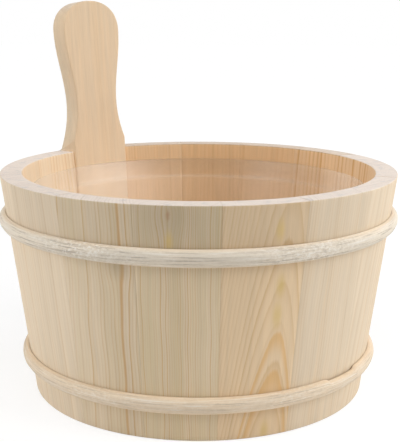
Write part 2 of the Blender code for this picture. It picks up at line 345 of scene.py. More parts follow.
def finished_mesh(shape, name, sharp=40.0, flat=Vector()):
    """Turns a bmesh into a smooth mesh that faces outwards; its faces square to flat are shaded flat."""
    bmesh.ops.recalc_face_normals(shape, faces=shape.faces)
    if shape.calc_volume(signed=True) < 0.0:
        bmesh.ops.reverse_faces(shape, faces=shape.faces)
    for face in shape.faces:
        face.smooth = True
    for edge in shape.edges:
        level = {abs(face.normal.dot(flat)) > FLAT for face in edge.link_faces}
        edge.smooth = edge.calc_face_angle(0.0) < math.radians(sharp) and len(level) == 1
    mesh = bpy.data.meshes.new(name)
    shape.to_mesh(mesh)
    shape.free()
    return mesh


def turned_ring(profile, steps, closed):
    """A (radius, height) profile swept a full turn about Z. An open profile starts and ends on the axis."""
    shape = bmesh.new()
    points = [shape.verts.new((r, 0.0, z)) for r, z in profile]
    for first, second in zip(points, points[1:]):
        shape.edges.new((first, second))
    if closed:
        shape.edges.new((points[-1], points[0]))
    swept = shape.verts[:] + shape.edges[:]
    bmesh.ops.spin(shape, geom=swept, axis=UP, angle=FULL_TURN, steps=steps)
    bmesh.ops.remove_doubles(shape, verts=shape.verts, dist=FINE_WELD)
    return shape


def prism(outline, depth):
    """An outline in the local YZ plane, extruded from -depth to +depth along X."""
    shape = bmesh.new()
    face = shape.faces.new([shape.verts.new((-depth, y, z)) for y, z in outline])
    swept = bmesh.ops.extrude_face_region(shape, geom=[face])["geom"]
    moved = [v for v in swept if isinstance(v, bmesh.types.BMVert)]
    bmesh.ops.translate(shape, verts=moved, vec=(2 * depth, 0.0, 0.0))
    return shape


def trim(shape, point, normal):
    """Cuts away what lies on the normal's side of a plane, and closes the cut."""
    everything = shape.verts[:] + shape.edges[:] + shape.faces[:]
    cut = bmesh.ops.bisect_plane(shape, geom=everything, plane_co=point, plane_no=normal, clear_outer=True)
    edges = [e for e in cut["geom_cut"] if isinstance(e, bmesh.types.BMEdge)]
    bmesh.ops.edgeloop_fill(shape, edges=edges)


def score(shape, axis, low, high, step):
    """Splits the faces along planes a step apart, so that flat faces too carry enough grain."""
    for index in range(1, int((high - low) / step)):
        everything = shape.verts[:] + shape.edges[:] + shape.faces[:]
        bmesh.ops.bisect_plane(shape, geom=everything, plane_co=axis * (low + index * step), plane_no=axis)


def new_object(name, data):
    """A new object, linked to the scene."""
    made = bpy.data.objects.new(name, data)
    bpy.context.scene.collection.objects.link(made)
    return made


def boolean(mesh, cutter, operation, placed=Matrix()):
    """What is left of a mesh when a cutter, a bmesh placed by a matrix, is taken from it or met with it."""
    target = new_object("target", mesh)
    tool = new_object("tool", finished_mesh(cutter, "tool"))
    tool.matrix_world = placed
    step = target.modifiers.new("cut", "BOOLEAN")
    step.operation = operation
    step.object = tool
    graph = bpy.context.evaluated_depsgraph_get()
    made = bpy.data.meshes.new_from_object(target.evaluated_get(graph))
    for part in (target, tool):
        bpy.data.objects.remove(part)
    return made


def points_of(mesh):
    """The mesh's vertices as rows of a numpy array."""
    found = np.empty(len(mesh.vertices) * 3)
    mesh.vertices.foreach_get("co", found)
    return found.reshape(-1, 3)


def normals_of(mesh):
    """The mesh's vertex normals as rows of a numpy array."""
    return np.array([vertex.normal for vertex in mesh.vertices])


def write(mesh, name, values):
    """Stores one number or one vector per vertex under a name that the materials read."""
    values = np.asarray(values, np.float32)
    if values.ndim == 1:
        layer = mesh.attributes.new(name, "FLOAT", "POINT")
        layer.data.foreach_set("value", values)
    else:
        layer = mesh.attributes.new(name, "FLOAT_VECTOR", "POINT")
        layer.data.foreach_set("vector", values.ravel())


def add_piece(name, mesh, finish, body):
    """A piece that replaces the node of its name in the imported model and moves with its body."""
    mesh.materials.clear()
    mesh.materials.append(finish)
    piece = new_object(name + "_wood" if body == "bucket" else name + "_shell", mesh)
    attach(piece, body)
    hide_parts(name)
    return piece


# Logs and grain

# A log gives a piece its rings: where the pith lies from the middle of the outer face (across, in depth),
# how it drifts with height, the ring width, then lightness, warmth (green to pink), strength of the rings,
# how orange the wood turns towards the inner face and how much painted shade darkens it above the upper
# hoop. Lengths are in millimetres.
Log = namedtuple("Log", "across depth drift lean ring_width light warmth contrast heart top", defaults=(0.0,))

# The lightness is partly painted light: staves 1 and 2, whose inner faces show at the left, are lighter, and
# staves 13 and 14 at the back are darker.
STAVE_LOGS = {
    1: Log(60, 70, 0.010, 0.02, 2.60, 1.13, 0.60, 0.95, 0.10),
    2: Log(-95, 50, 0.015, 0.02, 2.20, 1.11, 0.55, 0.70, 0.10),
    3: Log(110, 60, -0.010, 0.01, 1.60, 1.06, 0.48, 0.75, 0.17, 0.08),
    4: Log(-110, 65, 0.012, 0.02, 2.20, 1.04, 0.45, 0.60, 0.30, 0.15),
    5: Log(95, 60, 0.030, 0.02, 1.90, 0.98, 0.18, 1.10, 0.35, 0.10),
    6: Log(-88, 42, 0.015, 0.02, 1.25, 1.03, 0.10, 1.15, 0.40, 0.19),
    7: Log(8, 36, 0.040, 0.047, 1.05, 1.00, 1.00, 0.90, 0.40, 0.12),
    8: Log(-120, 75, 0.010, 0.01, 1.70, 0.98, 0.55, 0.45, 0.40, 0.05),
    9: Log(35, 130, -0.010, 0.02, 1.60, 1.00, 0.50, 0.60, 0.40),
    10: Log(-150, 30, 0.010, 0.01, 1.60, 0.99, 0.50, 1.10, 0.45),
    11: Log(-70, 55, 0.020, 0.01, 4.20, 0.98, 0.60, 1.80, 0.50),
    12: Log(85, 40, 0.010, 0.02, 3.60, 0.97, 0.65, 1.70, 0.60),
    13: Log(60, 80, 0.010, 0.02, 3.00, 0.93, 0.70, 0.40, 0.75),
    14: Log(-90, 60, -0.010, 0.02, 2.80, 0.90, 0.65, 0.45, 0.78),
    15: Log(120, 50, 0.010, 0.01, 2.20, 0.97, 0.70, 0.45, 0.62),
}
HANDLE_NUMBER = 16
HANDLE_LOG = Log(-150, 70, 0.012, 0.01, 3.00, 1.03, 0.62, 0.18, 0.24)

# Marks on the outer faces, as (across, height, size) from the middle of the stave; lines have no size
KNOTS = {5: (13.9 * MM, 107.0 * MM, 0.45), 6: (-4.6 * MM, 139.0 * MM, 1.0)}
RESIN_AND_PATCHES = {
    6: ((-4.3 * MM, 124.0 * MM, 1.0),),
    7: (
        (10.7 * MM, 96.0 * MM, 1.2),
        (9.7 * MM, 78.0 * MM, 1.3),
        (8.2 * MM, 129.0 * MM, 1.1),
        (6.5 * MM, 4.0 * MM, 1.2),
    ),
    # On the handle stave: a darker yellow-tan patch tints the foot of the flare, just above the rim
    HANDLE_NUMBER: ((-24.8 * MM, 146.0 * MM, 1.4),),
}
BROWN_LINES = {5: (14.3 * MM, 83.0 * MM)}
ORANGE_LINES = {7: ((8.0 * MM, 62.6 * MM), (6.7 * MM, 40.0 * MM))}
# Where the painted shade above the upper hoop begins, and over what height it fades in
TOP_SHADE_START = 109.0 * MM
TOP_SHADE_REACH = 10.0 * MM
HEART_START = 4.0 * MM
HEART_REACH = 6.0 * MM
KNOT_REACH = 6.5 * MM
KNOT_LENGTH = 11.0 * MM
KNOT_PUSH = 4.2 * MM
KNOT_SIZE = (2.0 * MM, 16.0 * MM, 5.3 * MM)
SHADE_SIZE = (24.0 * MM, 50.0 * MM, 24.0 * MM)
RESIN_AND_PATCH_SIZE = (3.6 * MM, 20.0 * MM, 10.0 * MM)
RING_WANDER = 0.5 * MM
WANDER_LENGTHS = (60 * MM, 40 * MM, 110 * MM)
GRAIN_SHIFT = 0.23
END_START = 0.55
END_REACH = 0.3
FAR = 100.0

# The handle's sawn edge and head, and the stave ends at the back: how much darker, how like end grain
SAWN_TONE = 0.17
HEAD_TONE = 0.13
SAWN_END = 0.35
BACK_STAVES = range(12, 16)
BACK_TONE = 0.20
BACK_END = 0.62

# Boards are numbered after the staves
FIRST_BOARD = 17
BOARD_SEED = 40


def board_log(number):
    """A log for a bottom board."""
    draw = np.random.RandomState(BOARD_SEED + number)
    side = draw.choice((-1, 1))
    return Log(
        across=side * draw.uniform(20, 120),
        depth=draw.uniform(35, 80),
        drift=draw.uniform(-0.02, 0.02),
        lean=draw.uniform(0.01, 0.04),
        ring_width=draw.uniform(1.3, 2.6),
        light=draw.uniform(0.95, 1.05),
        warmth=draw.uniform(0.3, 0.8),
        contrast=draw.uniform(0.45, 0.85),
        heart=draw.uniform(0.3, 0.5),
    )


def waves(places, seed, lengths, count=5):
    """A smooth field of about -1 to 1 at rows of places; lengths are its usual wavelengths along the axes."""
    draw = np.random.RandomState(seed)
    total = np.zeros(len(places))
    for _ in range(count):
        direction = draw.normal(size=places.shape[1]) / np.array(lengths)
        total += np.sin(places @ direction * FULL_TURN + draw.uniform(0, FULL_TURN))
    return total / count**0.5


def rings(places, log, seed, knot=None):
    """How many annual rings lie between the pith and each place (across, depth, along)."""
    across, depth, along = places.T
    if knot:
        off = (across - knot[0]) / KNOT_REACH
        rise = (along - knot[1]) / KNOT_LENGTH
        across = across - KNOT_PUSH * off * np.exp(-(off**2) / 2 - rise**2)
    middle = along - RIM_HEIGHT / 2
    wander = waves(places, seed, WANDER_LENGTHS) * RING_WANDER
    from_pith = across - (log.across * MM + log.drift * middle) + wander
    behind = depth - (log.depth * MM + log.lean * middle)
    return np.hypot(from_pith, behind) / (log.ring_width * MM)


def nearness(places, marks, reach):
    """Distance to the nearest mark in ellipsoids with half axes reach (across, depth, along)."""
    found = np.full(len(places), FAR)
    for across, along, size in marks:
        away = (places - np.array((across, 0.0, along))) / (size * np.array(reach))
        found = np.minimum(found, np.linalg.norm(away, axis=1))
    return found


def write_grain(mesh, places, log, number, axis, darker=0.0, end_share=1.0):
    """Writes what the wood materials read, for a piece with its vertices at places (across, depth, along)."""
    knot = KNOTS.get(number)
    count = len(places)
    year = rings(places, log, number, knot)
    lines = np.full((count, 3), FAR)
    marks = [BROWN_LINES.get(number), *ORANGE_LINES.get(number, ())]
    for column, mark in enumerate(marks):
        if mark:
            depth = mark[0] ** 2 / (2 * outer_radius(mark[1]))
            spot = np.array([[mark[0], depth, mark[1]]])
            lines[:, column] = year - rings(spot, log, number, knot)
    write(mesh, "ring", year)
    write(mesh, "lines", lines)
    write(mesh, "grain", places + GRAIN_SHIFT * number)
    knots = [knot] if knot else []
    write(mesh, "knot", nearness(places, knots, KNOT_SIZE))
    write(mesh, "shade", nearness(places, knots, SHADE_SIZE))
    write(mesh, "resin_and_patch", nearness(places, RESIN_AND_PATCHES.get(number, ()), RESIN_AND_PATCH_SIZE))
    tone = np.tile((log.light, log.warmth, log.contrast), (count, 1))
    tone[:, 0] -= darker
    write(mesh, "tone", tone)
    write(mesh, "heart", log.heart * unit((places[:, 1] - HEART_START) / HEART_REACH))
    across_grain = np.abs(normals_of(mesh) @ np.array(axis))
    write(mesh, "end", end_share * unit((across_grain - END_START) / END_REACH))


def stave_places(points, azimuth):
    """Points as (across, depth, along) of the stave whose middle is at an azimuth."""
    out = np.array((math.cos(azimuth), math.sin(azimuth), 0.0))
    right = np.array((-math.sin(azimuth), math.cos(azimuth), 0.0))
    height = points[:, 2]
    return np.stack((points @ right, outer_radius(height) - points @ out, height), axis=1)


# Staves


def stave_section():
    """Closed outline (radius, height) of a stave, anticlockwise, with rows close enough for the grain."""
    low, high = CHIME - SEAT_GAP, BOARD_TOP + SEAT_GAP
    corners = [
        ((outer_radius(0.0), 0.0), BASE_ROUND),
        ((outer_radius(RIM_HEIGHT), RIM_HEIGHT), RIM_ROUND),
        ((inner_radius(RIM_HEIGHT), RIM_HEIGHT), RIM_ROUND),
        ((inner_radius(high), high), GROOVE_ROUND),
        ((GROOVE_RADIUS, high), GROOVE_ROUND),
        ((GROOVE_RADIUS, low), GROOVE_ROUND),
        ((inner_radius(low), low), GROOVE_ROUND),
        ((inner_radius(0.0), 0.0), BASE_ROUND),
    ]

    def longest(middle):
        return RIM_ROW if middle[1] > RIM_HEIGHT - RIM_ROUND else WALL_ROW

    return with_rows(rounded(corners, STAVE_ROUND_STEPS), longest)


def stave_columns(half_angle):
    """Angles from seam to seam, each with how far the section draws in there to round the arris."""
    reach = SEAM_ROUND / RIM_RADIUS
    inner = half_angle - reach
    ends = [
        (half_angle, SEAM_ROUND),
        (half_angle - reach * ARRIS_SHARE, SEAM_ROUND * ARRIS_SHARE),
        (inner, 0.0),
    ]
    middle = [(inner * (2 * step / STAVE_COLUMNS - 1), 0.0) for step in range(1, STAVE_COLUMNS)]
    return [(-angle, draw) for angle, draw in ends] + middle + ends[::-1]


def stave_shape(section, half_angle, azimuth, number):
    """A stave as a lofted solid, its top moved a hair down and inwards."""
    draw = np.random.RandomState(number)
    lift, push = draw.uniform(-STAVE_PLAY, 0.0), draw.uniform(-STAVE_PLAY, 0.0)
    share = unit(section[:, 1] / RIM_HEIGHT)
    section = section + np.stack((share * push, share * lift), axis=1)
    shape = bmesh.new()
    rows = []
    for angle, draw_in in stave_columns(half_angle):
        turn = azimuth + angle
        outline = inset(section, draw_in)
        rows.append([shape.verts.new((r * math.cos(turn), r * math.sin(turn), z)) for r, z in outline])
    count = len(section)
    for first, second in zip(rows, rows[1:]):
        for index in range(count):
            after = (index + 1) % count
            shape.faces.new((first[index], first[after], second[after], second[index]))
    shape.faces.new(rows[0])
    shape.faces.new(rows[-1])
    return shape


def build_staves(finish):
    """The fifteen plain staves, numbered anticlockwise from the handle stave."""
    section = stave_section()
    left_start = HANDLE_AZIMUTH + HANDLE_STAVE_ANGLE / 2
    right_end = HANDLE_AZIMUTH - HANDLE_STAVE_ANGLE / 2
    left = (left_start, FULL_TURN + FRONT_SEAM, LEFT_STAVES)
    right = (FRONT_SEAM, right_end, RIGHT_STAVES)
    number = 0
    for start, end, count in (left, right):
        pitch = (end - start) / count
        half = pitch / 2 - SEAM_GAP / 2 / RIM_RADIUS
        for index in range(count):
            number += 1
            azimuth = start + (index + 0.5) * pitch
            mesh = finished_mesh(stave_shape(section, half, azimuth, number), f"stave_{number:02d}")
            points = points_of(mesh)
            log = STAVE_LOGS[number]
            # Painted shade: the wall above the upper hoop is made darker
            darker = log.top * unit((points[:, 2] - TOP_SHADE_START) / TOP_SHADE_REACH)
            end_share = 1.0
            if number in BACK_STAVES:
                end_share = BACK_END
                darker = darker + BACK_TONE * (points[:, 2] > RIM_HEIGHT - RIM_ROUND)
            write_grain(mesh, stave_places(points, azimuth), log, number, UP, darker, end_share)
            off = np.abs(swing(np.arctan2(points[:, 1], points[:, 0]), azimuth))
            write(mesh, "edge", (half - off) * np.hypot(points[:, 0], points[:, 1]))
            add_piece(f"stave_{number:02d}", mesh, finish, "bucket")


# Handle stave


def handle_half_outline():
    """(half width, height along the board) from the foot of the flare to the middle of the head."""
    points = []
    for step in range(CURVE_STEPS):
        share = 1 - step / CURVE_STEPS
        flare = (FLARE_HALF_WIDTH - WAIST_HALF_WIDTH) * share**FLARE_EXPONENT
        points.append((WAIST_HALF_WIDTH + flare, WAIST_HEIGHT - (WAIST_HEIGHT - FLARE_FOOT) * share))
    for step in range(CURVE_STEPS):
        share = step / CURVE_STEPS
        swell = (HEAD_HALF_WIDTH - WAIST_HALF_WIDTH) * (1 - math.cos(math.pi * share)) / 2
        points.append((WAIST_HALF_WIDTH + swell, WAIST_HEIGHT + (HEAD_HEIGHT - WAIST_HEIGHT) * share))
    for step in range(CURVE_STEPS + 1):
        turn = math.pi / 2 * step / CURVE_STEPS
        across = math.cos(turn) ** (2 / HEAD_EXPONENT)
        along = math.sin(turn) ** (2 / HEAD_EXPONENT)
        points.append((HEAD_HALF_WIDTH * across, HEAD_HEIGHT + (HANDLE_LENGTH - HEAD_HEIGHT) * along))
    return points


def handle_outline():
    """The sawn outline of the handle stave; below the flare it is wider than the stave and cuts nothing."""
    half = handle_half_outline()
    wide = FLARE_HALF_WIDTH + CUT_MARGIN
    low = -RIM_HEIGHT - CUT_MARGIN
    right = [(wide, low), (wide, FLARE_FOOT)] + half
    left = [(-y, z) for y, z in reversed(right)]
    return right + left[1:]


def handle_blank():
    """A wedge of the turned wall that runs on above the rim, cut flat on its inner side."""
    top = RIM_HEIGHT + HANDLE_LENGTH + CUT_MARGIN
    foot = BASE_ROUND
    profile = [
        (outer_radius(0.0) - foot, 0.0),
        (outer_radius(foot), foot),
        (outer_radius(top), top),
        (inner_radius(top) - CUT_MARGIN, top),
        (inner_radius(0.0) - CUT_MARGIN, 0.0),
    ]
    half = HANDLE_STAVE_ANGLE / 2 - SEAM_GAP / 2 / RIM_RADIUS
    shape = bmesh.new()
    face = shape.faces.new([shape.verts.new((r, 0.0, z)) for r, z in profile])
    bmesh.ops.rotate(shape, verts=face.verts, matrix=Matrix.Rotation(-half, 3, "Z"))
    swept = shape.verts[:] + shape.edges[:] + shape.faces[:]
    bmesh.ops.spin(shape, geom=swept, axis=UP, angle=2 * half, steps=STAVE_COLUMNS)
    trim(shape, Vector((handle_face(RIM_HEIGHT), 0.0, RIM_HEIGHT)), INWARD)
    return shape


def round_handle_edges(mesh):
    """Rounds the edges of the paddle's two flat faces, and those of the inner one down to the groove."""
    shape = bmesh.new()
    shape.from_mesh(mesh)
    bmesh.ops.remove_doubles(shape, verts=shape.verts, dist=WELD)
    bmesh.ops.recalc_face_normals(shape, faces=shape.faces)
    sawn = []
    for edge in shape.edges:
        lowest = min(v.co.z for v in edge.verts)
        highest = max(v.co.z for v in edge.verts)
        inwards = [face.normal.dot(INWARD) for face in edge.link_faces]
        on_paddle = lowest > RIM_HEIGHT + RIM_ROUND and max(np.abs(inwards)) > LEVEL
        on_inner_face = lowest > CHIME and highest > BOARD_TOP + CHIME and max(inwards) > LEVEL
        if (on_paddle or on_inner_face) and edge.calc_face_angle() > SQUARE:
            sawn.append(edge)
    bmesh.ops.bevel(
        shape, geom=sawn, offset=HANDLE_EDGE_RADIUS, segments=HANDLE_EDGE_STEPS, profile=0.5, affect="EDGES"
    )
    return shape


def handle_solid():
    """The handle stave in the XZ plane: grooved, sawn to its outline and thinned above the rim."""
    mesh = finished_mesh(handle_blank(), "handle_stave")
    low, high = CHIME - SEAT_GAP, BOARD_TOP + SEAT_GAP
    groove = [(0.0, high), (GROOVE_RADIUS, high), (GROOVE_RADIUS, low), (0.0, low)]
    mesh = boolean(mesh, turned_ring(groove, BOARD_STEPS, closed=False), "DIFFERENCE")
    at_rim = Matrix.Translation((handle_face(RIM_HEIGHT), 0.0, RIM_HEIGHT))
    leaning = at_rim @ Matrix.Rotation(HANDLE_LEAN, 4, "Y")
    mesh = boolean(mesh, prism(handle_outline(), RIM_RADIUS), "INTERSECT", leaning)
    out = HANDLE_THICKNESS / math.cos(HANDLE_LEAN)
    rise = HANDLE_LENGTH + CUT_MARGIN
    far = -(out + rise)
    waste = [(-out, 0.0), (far, 0.0), (far, rise), (-out - rise * math.tan(HANDLE_LEAN), rise)]
    sideways = at_rim @ Matrix.Rotation(math.pi / 2, 4, "Z")
    return boolean(mesh, prism(waste, RIM_RADIUS), "DIFFERENCE", sideways)


def build_handle_stave(finish):
    """A stave with a flat inner face, turned outside up to the rim and sawn to the paddle above it."""
    shape = round_handle_edges(handle_solid())
    score(shape, UP, 0.0, RIM_HEIGHT + HANDLE_LENGTH, HANDLE_ROW)
    score(shape, BACK, -FLARE_HALF_WIDTH - HANDLE_ROW / 2, FLARE_HALF_WIDTH + HANDLE_ROW, HANDLE_ROW)
    bmesh.ops.remove_doubles(shape, verts=shape.verts, dist=WELD)
    turned = Matrix.Rotation(HANDLE_AZIMUTH, 3, "Z")
    bmesh.ops.rotate(shape, verts=shape.verts, matrix=turned)
    mesh = finished_mesh(shape, "handle_stave", HANDLE_SHARP, turned @ INWARD)

    points = points_of(mesh)
    height = points[:, 2]
    lean = turned @ Vector((math.sin(HANDLE_LEAN), 0.0, math.cos(HANDLE_LEAN)))
    sawn = np.abs(normals_of(mesh) @ np.array(turned @ BACK))
    raised = unit((height - RIM_HEIGHT) / HANDLE_LENGTH)
    darker = np.maximum(SAWN_TONE * sawn * (height > RIM_HEIGHT), HEAD_TONE * raised)
    places = stave_places(points, HANDLE_AZIMUTH)
    write_grain(mesh, places, HANDLE_LOG, HANDLE_NUMBER, lean, darker, SAWN_END)
    write(mesh, "edge", np.full(len(points), FAR))
    add_piece("handle_stave", mesh, finish, "bucket")


# Hoops


def hoop_profile(middle):
    """Half-round section of a hoop whose flat side follows the wall's taper."""
    half = HOOP_WIDTH / 2
    seat = outer_radius(middle) + HOOP_SEAT
    depth = HOOP_DEPTH + SEAT_GAP - HOOP_SEAT
    points = []
    for step in range(HOOP_ARC_STEPS + 1):
        turn = math.pi * (0.5 - step / HOOP_ARC_STEPS)
        rise = half * math.sin(turn)
        points.append((seat + WALL_SLOPE * rise + depth * math.cos(turn), middle + rise))
    return points


def along_strip(points, azimuth, lap_azimuth, radius):
    """Angle along the bent strip from the point opposite its lap, where its two ends run past each other."""
    turn = swing(azimuth, lap_azimuth + math.pi)
    facing = lap_azimuth - LAP_ANGLE
    reach = points[:, 0] * math.cos(facing) + points[:, 1] * math.sin(facing)
    outer_end = reach > radius * math.cos(LAP_ANGLE)
    past_lap = outer_end & (turn < LAP_ANGLE - math.pi)
    before_lap = ~outer_end & (turn > math.pi - LAP_ANGLE)
    return turn + FULL_TURN * past_lap - FULL_TURN * before_lap


def lap_thinning(azimuth, rise):
    """From 0 to 1: how much the upper edge of the strip is pared away along the lap."""
    start, end = LAP_THIN
    fade_in = unit((azimuth - start) / LAP_THIN_RAMP)
    fade_out = unit((end - azimuth) / LAP_THIN_RAMP)
    return fade_in * fade_out * unit(rise / (HOOP_WIDTH / 2))


def hoop_solid(name, middle, lap_azimuth, radius):
    """A turned half-round ring, parted by its skived lap."""
    mesh = finished_mesh(turned_ring(hoop_profile(middle), HOOP_STEPS, closed=True), name)
    tall, wide = HOOP_WIDTH, CUT_MARGIN
    plate = prism([(-wide, -tall), (wide, -tall), (wide, tall), (-wide, tall)], LAP_GAP / 2)
    along, nearest = radius * math.sin(LAP_ANGLE), radius * math.cos(LAP_ANGLE)
    placed = Matrix.Rotation(lap_azimuth - LAP_ANGLE, 4, "Z") @ Matrix.Translation((nearest, along, middle))
    return boolean(mesh, plate, "DIFFERENCE", placed)


def build_hoop(name, middle, lap_azimuth, warmth, seed, thinned, finish):
    """A bent strip with a lap, roughened as split wood is."""
    radius = outer_radius(middle) + SEAT_GAP + HOOP_DEPTH / 2
    mesh = hoop_solid(name, middle, lap_azimuth, radius)
    points = points_of(mesh)
    azimuth = np.arctan2(points[:, 1], points[:, 0])
    out = np.stack((np.cos(azimuth), np.sin(azimuth)), axis=1)
    rise = points[:, 2] - middle
    depth = np.hypot(points[:, 0], points[:, 1]) - (outer_radius(points[:, 2]) + HOOP_SEAT)
    crown = unit(depth / HOOP_DEPTH)
    section = np.arctan2(rise / (HOOP_WIDTH / 2), np.maximum(depth, 0.0) / HOOP_DEPTH) * HOOP_WIDTH / 2

    long_wave = waves(out * radius, seed, HOOP_WAVE_LENGTHS)
    strip = np.column_stack((out * radius, section))
    ridges = waves(strip, seed + 1, HOOP_RIDGE_LENGTHS, HOOP_RIDGE_COUNT)
    swell = crown * (HOOP_WAVE * (long_wave - 1.0) / 2 + HOOP_RIDGE * (ridges - 1.5) / 2)
    pared = lap_thinning(azimuth, rise) * thinned
    swell += pared * LAP_THIN_LIFT
    moves = np.column_stack((out * swell[:, None], -pared * LAP_THIN_DROP))
    mesh.vertices.foreach_set("co", (points + moves).ravel())
    mesh.shade_smooth()
    mesh.set_sharp_from_angle(angle=math.radians(HOOP_SHARP))

    turn = along_strip(points, azimuth, lap_azimuth, radius)
    away = [swing(azimuth, place) / ROUGH_REACH for place in ROUGH_AZIMUTHS]
    write(mesh, "strand", np.column_stack((turn * radius + seed, section, depth)))
    write(mesh, "rough", (1.0 - warmth) * sum(np.exp(-(gap**2)) for gap in away))
    write(mesh, "warm", np.full(len(points), warmth))
    write(mesh, "crown", crown)
    add_piece(name, mesh, finish, "bucket")


# Bottom boards and liner


def build_bottom(finish):
    """The bottom disc, cut into equal boards that run along Y."""
    radius = GROOVE_RADIUS - SEAT_GAP
    width = 2 * radius / BOARD_COUNT
    disc = [(0.0, BOARD_TOP), (radius, BOARD_TOP), (radius, CHIME), (0.0, CHIME)]
    for index in range(BOARD_COUNT):
        low = -radius + index * width
        board = turned_ring(disc, BOARD_STEPS, closed=False)
        if index > 0:
            trim(board, RIGHT * (low + SEAM_GAP), -RIGHT)
        if index < BOARD_COUNT - 1:
            trim(board, RIGHT * (low + width - SEAM_GAP), RIGHT)
        arris = [edge for edge in board.edges if edge.calc_face_angle(0.0) > SQUARE]
        bmesh.ops.bevel(board, geom=arris, offset=BOARD_ROUND, segments=2, profile=0.5, affect="EDGES")
        for axis in (RIGHT, BACK):
            score(board, axis, -radius, radius, BOARD_ROW)
        name = f"bottom_board_{index + 1}"
        mesh = finished_mesh(board, name)
        points = points_of(mesh)
        across = points[:, 0] - (low + width / 2)
        places = np.stack((across, BOARD_TOP - points[:, 2], points[:, 1] + RIM_HEIGHT / 2), axis=1)
        number = FIRST_BOARD + index
        write_grain(mesh, places, board_log(number), number, BACK)
        write(mesh, "edge", width / 2 - np.abs(across))
        add_piece(name, mesh, finish, "bucket")


def liner_radius(z):
    """Outside of the liner's collar at height z: clear of the flat face of the handle stave."""
    return handle_face(z) - LINER_CLEARANCE


def liner_profile():
    """Section of the liner from the middle of its underside over its lip to the middle of its floor."""
    floor = BOARD_TOP + SEAT_GAP
    lip = RIM_HEIGHT - LINER_TOP_DROP
    step = lip - COLLAR_HEIGHT
    wall = LINER_WALL
    foot = floor + LINER_CORNER
    top, neck, low = liner_radius(lip), liner_radius(step), liner_radius(foot) - COLLAR_STEP
    small = LINER_CORNER - wall
    corners = [
        ((0.0, floor), 0.0),
        ((liner_radius(floor) - COLLAR_STEP, floor), LINER_CORNER * CORNER_SHARE),
        ((liner_radius(step - wall) - COLLAR_STEP, step - wall), LINER_BEND),
        ((neck, step), LINER_BEND),
        ((top, lip), LIP_ROUND),
        ((top - wall, lip), LIP_ROUND),
        ((neck - wall, step + wall), LINER_BEND),
        ((neck - COLLAR_STEP - wall, step), LINER_BEND),
        ((low - wall, foot - small), small * CORNER_SHARE),
        ((0.0, floor + wall), 0.0),
    ]
    points = [corners[0][0]]
    for before, corner, after in zip(corners, corners[1:], corners[2:]):
        points.extend(bend(before[0], corner, after[0], LINER_BEND_STEPS))
    return points + [corners[-1][0]]


def milkiness_and_highlight(points, in_collar):
    """A painted highlight on some upright sectors, most of all in the collar, and the milkier floor."""
    azimuth = np.arctan2(points[:, 1], points[:, 0])
    sectors = 0.0
    for middle, reach, level in zip(HIGHLIGHT_AZIMUTHS, HIGHLIGHT_REACHES, HIGHLIGHT_LEVELS):
        away = swing(azimuth, middle) / reach
        sectors = sectors + level * np.exp(-(away**2))
    on_floor = unit(1.0 - (points[:, 2] - BOARD_TOP) / LINER_CORNER)
    return sectors * (HIGHLIGHT_WALL + (1.0 - HIGHLIGHT_WALL) * in_collar) + MILKY_FLOOR * on_floor


def build_liner(finish):
    """The turned plastic liner, too clear to throw a shadow worth seeing."""
    mesh = finished_mesh(turned_ring(liner_profile(), LINER_STEPS, closed=False), "liner", LINER_SHARP)
    points = points_of(mesh)
    below_lip = RIM_HEIGHT - LINER_TOP_DROP - points[:, 2]
    across_view = np.sin(np.arctan2(points[:, 1], points[:, 0])) ** 2
    at_lip = unit(1.0 - np.abs(below_lip) / LINER_FOLD)
    at_step = unit(1.0 - np.abs(COLLAR_HEIGHT - below_lip) / LINER_FOLD)
    in_collar = unit((COLLAR_HEIGHT - below_lip) / LINER_FOLD)
    # Painted shade: dark lines at the lip and the step, and a darker collar, strongest towards the front and
    # back
    write(mesh, "line", (at_lip + STEP_LINE * at_step) * across_view)
    write(mesh, "collar", in_collar * across_view)
    # Painted highlight in upright sectors, with the milkier floor
    write(mesh, "milky_and_highlight", milkiness_and_highlight(points, in_collar))
    shell = add_piece("liner", mesh, finish, "liner_body")
    shell.visible_shadow = False


# Materials


